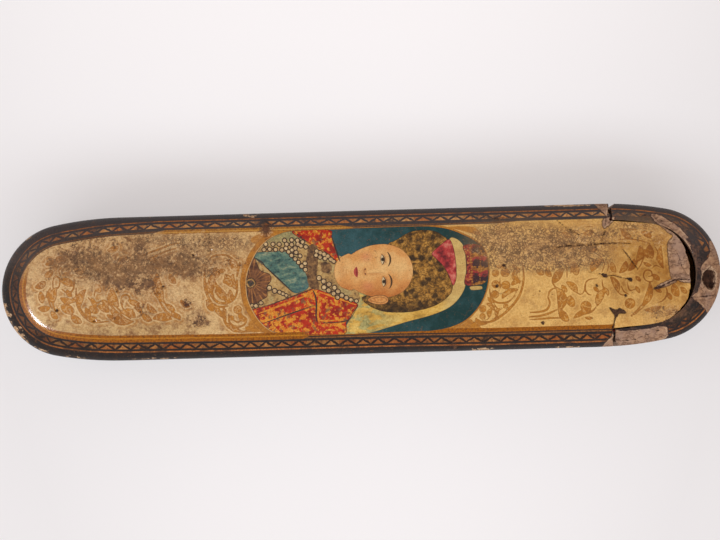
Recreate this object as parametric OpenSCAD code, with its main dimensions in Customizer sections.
// Lacquered papier-mache pen box: a rounded outer case, a drawer that pulls out
// of one end, and the scribe's writing set that lies in the drawer.
// X runs along the box towards the drawer's head, Y across it, Z up from the table.

/* [Case] */
// Overall length, tip to tip
case_length = 230; // [215:1:260]
// Overall width
case_width = 45.8; // [44:0.1:52]
// Overall height
case_height = 39; // [37:0.5:46]
// Radius of the nose of each rounded end, in plan
end_radius = 21.2; // [18:0.1:21.6]
// Radius of the slow curve between each long side and the nose
flank_radius = 112; // [90:1:160]
// Thickness of the pasted-paper walls, roof and floor
case_wall = 3; // [2:0.1:3.4]
// How far the rounded upper shoulder reaches in from the outline
shoulder_reach = 9; // [6:0.5:10]
// How far the upper shoulder falls
shoulder_drop = 5; // [3:0.5:6]
// How far the rounded lower edge reaches in from the outline
foot_reach = 5; // [3:0.5:7]
// How far the lower edge rises
foot_drop = 4; // [2:0.5:6]

/* [Mouth and tongues] */
// Length of the drawer's head, from its tip to the mouth of the case
head_length = 35.4; // [33:0.1:38]
// Open seam between the case's mouth and the head
seam_gap = 0.8; // [0.3:0.1:1.5]
// Width of the head's lip beside each tongue
lip_width = 5.2; // [4.5:0.1:6]
// Width of the head's lip in front of each tongue's tip
tip_lip_width = 8.2; // [7:0.1:9.4]
// Open gap in front of each tongue's tip
tip_gap = 1.7; // [0.8:0.1:2.4]
// Sliding clearance on every side of the drawer
slide_clearance = 0.3; // [0.2:0.05:0.5]

/* [Drawer] */
// Thickness of the tray's side wall
tray_wall = 2.2; // [1.5:0.1:2.6]
// Thickness of the tray's floor
tray_floor = 2.2; // [1.5:0.1:3]
// Length of the ink bay at the head end of the tray
ink_bay_length = 41; // [38:0.5:46]
// Thickness of the bulkhead between the ink bay and the pens
bulkhead_thickness = 2; // [1.5:0.1:3]
// Height of the bulkhead above the tray's floor
bulkhead_height = 17; // [14:0.5:22]

/* [Inkwell] */
// Height of the brass pot, without its top plate
pot_height = 9.6; // [8:0.1:10]
// Thickness of the pot's sheet brass
pot_wall = 1; // [0.8:0.1:1.5]
// Play between the pot and the ink bay
pot_clearance = 0.3; // [0.2:0.05:0.6]
// Diameter of the ink mouth
mouth_d = 12; // [10:0.1:13]
// Height of the collar round the mouth
collar_height = 1.4; // [1:0.1:2]
// Thickness of the hinged lid
lid_thickness = 1.2; // [1:0.1:1.6]
// Gap under the closed lid
lid_gap = 0.1; // [0.05:0.01:0.3]
// Diameter of the hinge pin
hinge_pin_d = 1.2; // [1:0.1:1.6]
// Radial play of the lid's knuckle on the pin
knuckle_play = 0.06; // [0.03:0.01:0.1]
// Radial play of the pin in its two ears
ear_play = 0.03; // [0.02:0.01:0.06]
// Length of each of the three hinge knuckles
knuckle_length = 3.2; // [2.5:0.1:4]
// Room left above the ink wadding
wadding_room = 1; // [0.6:0.1:2]

/* [Writing set] */
// Diameter of a reed pen
pen_d = 7.6; // [6.5:0.1:7.8]
// Bore of a reed pen
pen_bore_d = 4.2; // [3:0.1:5]
// Length of the sloping cut behind a nib
nib_cut_length = 16; // [12:0.5:20]
// Diameter of the penknife's handle at the bolster
knife_d = 6.4; // [5.6:0.1:6.8]
// Length of the penknife's blade
blade_length = 42; // [36:1:48]
// Thickness of the penknife's blade at its back
blade_thickness = 1.4; // [1:0.1:2]
// Diameter of the ink spoon's handle
spoon_handle_d = 2.2; // [1.8:0.1:2.6]
// Diameter of the ink spoon's bowl
spoon_bowl_d = 9.6; // [8:0.1:10]
// Length of the bone plate that nibs are trimmed on
nib_plate_length = 84; // [70:1:95]
// Width of the nib plate
nib_plate_width = 12; // [10:0.5:13]
// Thickness of the nib plate
nib_plate_thickness = 2.4; // [2:0.1:3]
// Gap kept between loose tools, and under them
tool_gap = 0.25; // [0.15:0.05:0.4]
// Room at each end of a loose tool
tool_end_room = 2; // [1:0.5:4]

/* [Hidden] */
$fn = 128;

// Facets of the lofted outer body
end_steps = 22;
flank_steps = 3;
shoulder_steps = 7;
foot_steps = 4;
// Overshoot of every cutting tool past the surface that it cuts
over = 1;

// Plan of the case: straight sides, slow flanks, round noses
half_length = case_length / 2;
half_width = case_width / 2;
nose_x = half_length - end_radius;
flank_run = sqrt(pow(flank_radius - end_radius, 2) - pow(flank_radius - half_width, 2));
spring_x = nose_x - flank_run;
flank_y = flank_radius - half_width;
flank_angle = atan2(flank_y, flank_run);

// Levels, from the table up
case_floor_z = case_wall;
case_roof_z = case_height - case_wall;
tray_base_z = case_floor_z + slide_clearance;
tray_rim_z = case_roof_z - slide_clearance;
tray_floor_z = tray_base_z + tray_floor;

// Insets from the outline
tray_inset = case_wall + slide_clearance;
tray_inner_inset = tray_inset + tray_wall;
pot_inset = tray_inner_inset + pot_clearance;
slot_inset = lip_width;
tongue_inset = lip_width + slide_clearance;

// Stations along X
mouth_x = half_length - head_length;
slot_shift = lip_width - tip_lip_width;
tongue_shift = slot_shift + slide_clearance - tip_gap;
tray_tip_x = half_length - tray_inner_inset;
bulkhead_x = tray_tip_x - ink_bay_length;
pen_bay_x = bulkhead_x - bulkhead_thickness;

// Inkwell
pot_back_x = bulkhead_x + pot_clearance;
pot_tip_x = half_length - pot_inset;
pot_rim_z = tray_floor_z + pot_height;
plate_top_z = pot_rim_z + pot_wall;
collar_top_z = plate_top_z + collar_height;
collar_d = mouth_d + 2 * pot_wall;
lid_d = collar_d + 0.4;
mouth_centre_x = (pot_back_x + pot_tip_x) / 2;
knuckle_r = hinge_pin_d / 2 + 0.8;
knuckle_gap = 0.15;
hinge_x = mouth_centre_x - lid_d / 2 - knuckle_r - knuckle_gap;
hinge_z = collar_top_z + lid_gap + lid_thickness / 2;
knob_height = 2.2;
knob_d = 3.2;

// Writing set: lanes across the tray, from one wall to the other
tray_half = half_width - tray_inner_inset;
lane_1_y = -tray_half + tool_gap + pen_d / 2;
lane_2_y = lane_1_y + pen_d + tool_gap;
lane_3_y = lane_2_y + pen_d + tool_gap;
knife_y = tray_half - tool_gap - knife_d / 2;
spoon_y = (lane_3_y + pen_d / 2 + knife_y - knife_d / 2) / 2;
pen_z = tray_floor_z + tool_gap + pen_d / 2;
knife_z = tray_floor_z + tool_gap + knife_d / 2;
spoon_z = tray_floor_z + tool_gap + spoon_bowl_d / 4;
tool_end_x = pen_bay_x - tool_end_room;
// The spoon's bowl lies in the round end, past the shorter tools
bowl_x = -outline_x(spoon_y + spoon_bowl_d / 2, tray_inner_inset) + spoon_bowl_d / 2 + tool_gap;
bowl_front_x = bowl_x + spoon_bowl_d / 2 + tool_gap;
// Widths of the three cut nibs
nib_broad = 3.6;
nib_medium = 2.6;
nib_fine = 1.6;
nib_slit = 0.25;

// Points of the outline, moved in by inset, anticlockwise from the drawer's nose
function arc(cx, cy, r, a0, a1, steps) =
    [for (i = [0 : steps - 1]) let (a = a0 + (a1 - a0) * i / steps) [cx + r * cos(a), cy + r * sin(a)]];
function outline(inset) = let (r = end_radius - inset, f = flank_radius - inset, a = flank_angle) concat(
    arc(nose_x, 0, r, -a, a, end_steps),
    arc(spring_x, -flank_y, f, a, 90, flank_steps),
    [[spring_x, half_width - inset]],
    arc(-spring_x, -flank_y, f, 90, 180 - a, flank_steps),
    arc(-nose_x, 0, r, 180 - a, 180 + a, end_steps),
    arc(-spring_x, flank_y, f, 180 + a, 270, flank_steps),
    [[-spring_x, inset - half_width]],
    arc(spring_x, flank_y, f, 270, 360 - a, flank_steps)
);
// Distance along X from the middle to the inset outline, at a distance y off the axis
function outline_x(y, inset) = let (r = end_radius - inset, f = flank_radius - inset)
    y < r * sin(flank_angle)
        ? nose_x + sqrt(r * r - y * y)
        : spring_x + sqrt(max(0, f * f - pow(y + flank_y, 2)));

// Inset and height of each ring of the outer body, from the table to the crown
body_rings = concat(
    [for (i = [0 : foot_steps]) let (a = 90 * i / foot_steps)
        [foot_reach * (1 - sin(a)), foot_drop * (1 - cos(a))]],
    [for (i = [0 : shoulder_steps]) let (a = 90 * i / shoulder_steps)
        [shoulder_reach * (1 - cos(a)), case_height - shoulder_drop * (1 - sin(a))]]
);

// Closed outer form of the whole box, lofted through its rings
module outer_body() {
    count = len(outline(0));
    rings = len(body_rings);
    points = [for (ring = body_rings) for (p = outline(ring[0])) [p[0], p[1], ring[1]]];
    sides = [for (k = [0 : rings - 2]) for (i = [0 : count - 1]) let (j = (i + 1) % count)
        [k * count + i, (k + 1) * count + i, (k + 1) * count + j, k * count + j]];
    floor_face = [for (i = [0 : count - 1]) i];
    crown_face = [for (i = [count - 1 : -1 : 0]) (rings - 1) * count + i];
    polyhedron(points, concat([floor_face], sides, [crown_face]), convexity = 4);
}

// Plan of the case moved in by inset, with true arcs
module plan(inset) {
    nose_r = end_radius - inset;
    flank_end_x = nose_x + nose_r * cos(flank_angle);
    square([2 * spring_x, 2 * (half_width - inset)], center = true);
    for (end = [0, 1]) mirror([end, 0]) {
        translate([nose_x, 0]) circle(nose_r);
        intersection() {
            translate([spring_x - over, -half_width]) square([flank_end_x - spring_x + over, case_width]);
            translate([spring_x, -flank_y]) circle(flank_radius - inset);
            translate([spring_x, flank_y]) circle(flank_radius - inset);
        }
    }
}

// Upright prism of a plan between two levels
module prism(z0, z1, inset, shift = 0) {
    translate([shift, 0, z0]) linear_extrude(z1 - z0) plan(inset);
}

// Everything on the far side of a plane across the box
module beyond(x) {
    translate([x, -case_width, -case_height]) cube([case_length, 2 * case_width, 3 * case_height]);
}

// Outer case: roof and floor run out as tongues past the mouth cut in its sides
module case_sleeve() {
    color("tan") difference() {
        outer_body();
        prism(case_floor_z, case_roof_z, case_wall);
        difference() {
            beyond(mouth_x);
            prism(-over, case_height + over, tongue_inset, tongue_shift);
        }
    }
}

// Long trough of the drawer, rounded at both ends
module drawer_tray() {
    color("firebrick") difference() {
        prism(tray_base_z, tray_rim_z, tray_inset);
        prism(tray_floor_z, tray_rim_z + over, tray_inner_inset);
    }
}

// Head of the drawer: completes the case's outline and is slotted for both tongues
module drawer_head() {
    color("dimgray") difference() {
        intersection() {
            outer_body();
            beyond(mouth_x + seam_gap);
        }
        prism(tray_base_z, tray_rim_z, tray_inset);
        prism(tray_rim_z, case_height + over, slot_inset, slot_shift);
        prism(-over, tray_base_z, slot_inset, slot_shift);
    }
}

// Low wall that keeps the inkwell in its bay
module ink_bulkhead() {
    color("firebrick") translate([pen_bay_x, -tray_half, tray_floor_z])
        cube([bulkhead_thickness, 2 * tray_half, bulkhead_height]);
}

// D-shaped plan of the inkwell, moved in from its outer face by wall
module pot_plan(wall) {
    intersection() {
        plan(pot_inset + wall);
        translate([pot_back_x + wall, -half_width]) square([case_length, case_width]);
    }
}

// Open brass box that holds the ink
module inkwell_pot() {
    color("goldenrod") difference() {
        translate([0, 0, tray_floor_z]) linear_extrude(pot_height) pot_plan(0);
        translate([0, 0, tray_floor_z + pot_wall]) linear_extrude(pot_height) pot_plan(pot_wall);
    }
}

// One hinge knuckle along Y, centred on y
module knuckle(y) {
    translate([hinge_x, y, hinge_z]) rotate([90, 0, 0]) cylinder(r = knuckle_r, h = knuckle_length, center = true);
}

// Pin-sized hole through the hinge, with a radial play
module hinge_bore(play) {
    translate([hinge_x, 0, hinge_z]) rotate([90, 0, 0])
        cylinder(d = hinge_pin_d + 2 * play, h = 5 * knuckle_length, center = true);
}

// Plate soldered over the pot, with the mouth's collar and the two hinge ears
module inkwell_top() {
    ear_y = knuckle_length + knuckle_gap;
    color("goldenrod") difference() {
        union() {
            translate([0, 0, pot_rim_z]) linear_extrude(pot_wall) pot_plan(0);
            translate([mouth_centre_x, 0, plate_top_z - pot_wall / 2])
                cylinder(d = collar_d, h = collar_height + pot_wall / 2);
            for (side = [-1, 1]) {
                knuckle(side * ear_y);
                translate([hinge_x - knuckle_r, side * ear_y - knuckle_length / 2, plate_top_z - pot_wall / 2])
                    cube([2 * knuckle_r, knuckle_length, hinge_z - plate_top_z + pot_wall / 2]);
            }
        }
        translate([mouth_centre_x, 0, pot_rim_z - over])
            cylinder(d = mouth_d, h = pot_wall + collar_height + 2 * over);
        hinge_bore(ear_play);
    }
}

// Domed lid with its middle knuckle
module inkwell_lid() {
    lid_z = collar_top_z + lid_gap;
    color("gold") difference() {
        union() {
            translate([mouth_centre_x, 0, lid_z]) rotate_extrude()
                polygon([[0, 0], [lid_d / 2, 0], [lid_d / 2, lid_thickness * 0.6],
                         [lid_d / 2 - 0.6, lid_thickness], [0, lid_thickness]]);
            knuckle(0);
            translate([hinge_x, -knuckle_length / 2, lid_z])
                cube([knuckle_r + knuckle_gap + lid_d / 4, knuckle_length, lid_thickness]);
        }
        hinge_bore(knuckle_play);
    }
}

// Turned knob riveted on the lid
module lid_knob() {
    neck_d = knob_d / 2;
    color("gold") translate([mouth_centre_x, 0, collar_top_z + lid_gap + lid_thickness]) rotate_extrude()
        difference() {
            union() {
                square([neck_d / 2, knob_height]);
                translate([0, knob_height - knob_d / 2]) circle(d = knob_d);
            }
            translate([-knob_d, -knob_d]) square([knob_d, 3 * knob_d]);
            translate([-knob_d, -knob_d]) square([2 * knob_d, knob_d]);
        }
}

// Pin through the three knuckles
module hinge_pin() {
    color("gold") translate([hinge_x, 0, hinge_z]) rotate([90, 0, 0])
        cylinder(d = hinge_pin_d, h = 3 * knuckle_length + 2 * knuckle_gap, center = true);
}

// Pad of silk floss that holds the ink
module ink_wadding() {
    floor_z = tray_floor_z + pot_wall;
    color("black") translate([0, 0, floor_z])
        linear_extrude(pot_rim_z - wadding_room - floor_z) pot_plan(pot_wall + pot_clearance);
}

// Reed tube lying along X with its cut nib towards -X
module reed_pen(y, length, nib_width) {
    scoop_r = nib_cut_length * 1.6;
    half_cut = (pen_d - nib_width) / 2;
    nib_x = -length;
    color("saddlebrown") translate([tool_end_x, y, pen_z]) difference() {
        translate([nib_x, 0, 0]) rotate([0, 90, 0]) cylinder(d = pen_d, h = length);
        translate([nib_x - over, 0, 0]) rotate([0, 90, 0]) cylinder(d = pen_bore_d, h = length + 2 * over);
        translate([nib_x - 0.35 * nib_cut_length, 0, scoop_r - pen_d * 0.25]) rotate([90, 0, 0])
            cylinder(r = scoop_r, h = 2 * pen_d, center = true);
        for (side = [-1, 1]) translate([nib_x - over, side * pen_d / 2, -pen_d]) linear_extrude(2 * pen_d)
            polygon([[0, side * over], [0, -side * half_cut], [over + nib_cut_length / 4, -side * half_cut],
                     [over + nib_cut_length, 0], [over + nib_cut_length, side * over]]);
        translate([nib_x - over, -nib_slit / 2, -pen_d]) cube([over + nib_cut_length * 0.6, nib_slit, 2 * pen_d]);
    }
}

// Longest tool that fits between the bulkhead and the round end, at a lane
function lane_run(edge_y) = tool_end_x + outline_x(edge_y, tray_inner_inset) - tool_end_room;

module reed_pen_broad() { reed_pen(lane_1_y, lane_run(abs(lane_1_y) + pen_d / 2), nib_broad); }
module reed_pen_medium() { reed_pen(lane_2_y, lane_run(abs(lane_2_y) + pen_d / 2), nib_medium); }
module reed_pen_fine() { reed_pen(lane_3_y, tool_end_x - bowl_front_x - tool_end_room, nib_fine); }

// Penknife, laid on its side with the point towards -X
bolster_length = 4;
knife_run = tool_end_x - max(bowl_front_x, -outline_x(knife_y + knife_d / 2, tray_inner_inset)) - tool_end_room;
handle_length = knife_run - blade_length - bolster_length;
bolster_x = tool_end_x - handle_length;

// Bone handle, slimmer towards its butt
module knife_handle() {
    butt_d = knife_d * 0.8;
    color("ivory") translate([bolster_x, knife_y, knife_z]) rotate([0, 90, 0]) {
        cylinder(d1 = knife_d, d2 = butt_d, h = handle_length - butt_d / 2);
        translate([0, 0, handle_length - butt_d / 2]) sphere(d = butt_d);
    }
}

// Brass collar where the blade enters the handle
module knife_bolster() {
    color("goldenrod") translate([bolster_x - bolster_length, knife_y, knife_z]) rotate([0, 90, 0])
        rotate_extrude() polygon([[0, 0], [knife_d * 0.36, 0], [knife_d / 2, bolster_length * 0.5],
                                  [knife_d / 2, bolster_length], [0, bolster_length]]);
}

// Steel blade: straight edge, clipped point, ground from its back to its edge
module knife_blade() {
    blade_w = knife_d;
    edge_t = 0.2;
    color("silver") translate([bolster_x - bolster_length, knife_y, knife_z]) intersection() {
        translate([0, 0, -blade_thickness]) linear_extrude(2 * blade_thickness)
            polygon([[0, -blade_w * 0.3], [0, blade_w * 0.3], [-blade_length * 0.2, blade_w / 2],
                     [-blade_length * 0.66, blade_w / 2], [-blade_length, -blade_w * 0.42],
                     [-blade_length * 0.9, -blade_w / 2], [-blade_length * 0.1, -blade_w / 2]]);
        translate([over, 0, 0]) rotate([0, -90, 0]) linear_extrude(blade_length + 2 * over)
            polygon([[-blade_thickness / 2, blade_w], [blade_thickness / 2, blade_w],
                     [blade_thickness / 2, 0], [edge_t / 2, -blade_w / 2], [edge_t / 2, -blade_w],
                     [-edge_t / 2, -blade_w], [-edge_t / 2, -blade_w / 2], [-blade_thickness / 2, 0]]);
    }
}

// Bone plate across two pens, with the grooved saddle that a pen is trimmed in
module nib_plate() {
    end_r = nib_plate_width / 2;
    saddle_length = 12;
    saddle_height = 1.6;
    plate_x = tool_end_x - nib_plate_length - lane_run(abs(lane_1_y) + pen_d / 2) * 0.15;
    plate_y = (lane_1_y + lane_2_y) / 2;
    color("ivory") translate([plate_x, plate_y, pen_z + pen_d / 2 + tool_gap]) {
        linear_extrude(nib_plate_thickness) {
            translate([end_r, 0]) circle(end_r);
            translate([nib_plate_length - end_r, 0]) circle(end_r);
            translate([end_r, -end_r]) square([nib_plate_length - nib_plate_width, nib_plate_width]);
        }
        translate([nib_plate_length / 3, 0, nib_plate_thickness]) difference() {
            translate([0, -end_r * 0.6, 0]) cube([saddle_length, end_r * 1.2, saddle_height]);
            translate([-over, 0, saddle_height + pen_d * 0.36]) rotate([0, 90, 0])
                cylinder(d = pen_d, h = saddle_length + 2 * over);
        }
    }
}

// Long-handled spoon for dripping water into the ink
module ink_spoon() {
    bowl_wall = 0.7;
    rod_x = bowl_x + spoon_bowl_d * 0.45;
    color("goldenrod") {
        translate([bowl_x, spoon_y, spoon_z + spoon_bowl_d / 4]) difference() {
            sphere(d = spoon_bowl_d);
            sphere(d = spoon_bowl_d - 2 * bowl_wall);
            translate([-spoon_bowl_d, -spoon_bowl_d, -spoon_bowl_d * 0.12]) cube(2 * spoon_bowl_d);
        }
        translate([rod_x, spoon_y, spoon_z]) rotate([0, 90, 0])
            cylinder(d = spoon_handle_d, h = tool_end_x - rod_x);
    }
}

case_sleeve();
drawer_tray();
drawer_head();
ink_bulkhead();
inkwell_pot();
inkwell_top();
inkwell_lid();
lid_knob();
hinge_pin();
ink_wadding();
reed_pen_broad();
reed_pen_medium();
reed_pen_fine();
knife_handle();
knife_bolster();
knife_blade();
nib_plate();
ink_spoon();
